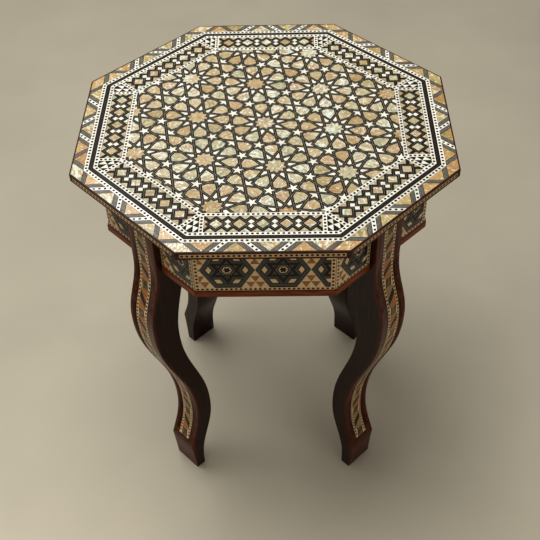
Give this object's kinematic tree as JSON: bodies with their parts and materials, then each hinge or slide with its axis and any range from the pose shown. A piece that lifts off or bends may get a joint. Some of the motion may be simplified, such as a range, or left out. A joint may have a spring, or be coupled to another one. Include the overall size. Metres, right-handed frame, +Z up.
{
  "type": "octagonal inlaid stool",
  "caption": "Octagonal low stool or side table with a marquetry top of interlaced star patterns, an inlaid apron and sawn swan-neck legs.",
  "frame": {"origin": "on the floor under the centre of the octagonal top", "axes": "+Z up, -Y towards the front side of the octagon, +X to the right seen from the front"},
  "size_m": [0.356, 0.356, 0.422],
  "materials": {
    "rosewood_edge": "reddish brown hardwood under gloss varnish",
    "leg_wood": "very dark brown hardwood under gloss varnish",
    "stained_board": "dark stained softwood board",
    "plain_wood": "plain sawn softwood",
    "dotted_string": "ivory coloured stringing with black dots, varnished",
    "black_band": "dark brown band between two black lines, varnished",
    "ebony": "black stained wood with a fine light line, varnished",
    "grey_striped_strap": "fine black and grey lines of wood, varnished",
    "pearl": "polished mother-of-pearl, tan with pale iridescent patches",
    "bone": "polished camel bone",
    "brown_wood": "orange brown fruitwood, varnished",
    "steel_screw": "zinc plated countersunk screw"
  },
  "bodies": {
    "root": {"edge_lippings": "rosewood_edge", "apron_mouldings": "rosewood_edge", "leg_front_left": "leg_wood", "leg_front_right": "leg_wood", "leg_back_left": "leg_wood", "leg_back_right": "leg_wood", "apron_board_front": "stained_board", "apron_board_front_right": "stained_board", "apron_board_right": "stained_board", "apron_board_back_right": "stained_board", "apron_board_back": "stained_board", "apron_board_back_left": "stained_board", "apron_board_left": "stained_board", "apron_board_front_left": "stained_board", "top_board": "plain_wood", "corner_blocks": "plain_wood", "top_battens": "plain_wood", "edge_strings": "dotted_string", "outer_string": "dotted_string", "middle_string": "dotted_string", "inner_string": "dotted_string", "corner_strings": "dotted_string", "zigzag_strings": "dotted_string", "apron_strings": "dotted_string", "leg_strings": "dotted_string", "black_band": "black_band", "star_straps": "ebony", "rhombus_straps": "ebony", "corner_ebony_triangles": "ebony", "apron_straps": "ebony", "apron_stars": "ebony", "leg_straps": "ebony", "zigzag_straps": "grey_striped_strap", "ten_point_stars": "pearl", "star_petals": "pearl", "rhombus_pearls": "pearl", "rhombus_triangles": "pearl", "zigzag_pearls": "pearl", "star_kites": "bone", "cut_stars": "bone", "five_point_stars": "bone", "rhombus_bones": "bone", "corner_bone_triangles": "bone", "apron_bones": "bone", "apron_star_grounds": "bone", "apron_browns": "brown_wood", "leg_tiles": "brown_wood", "leg_blocks": "brown_wood", "leg_screws": "steel_screw", "batten_screws": "steel_screw"}
  },
  "joints": []
}
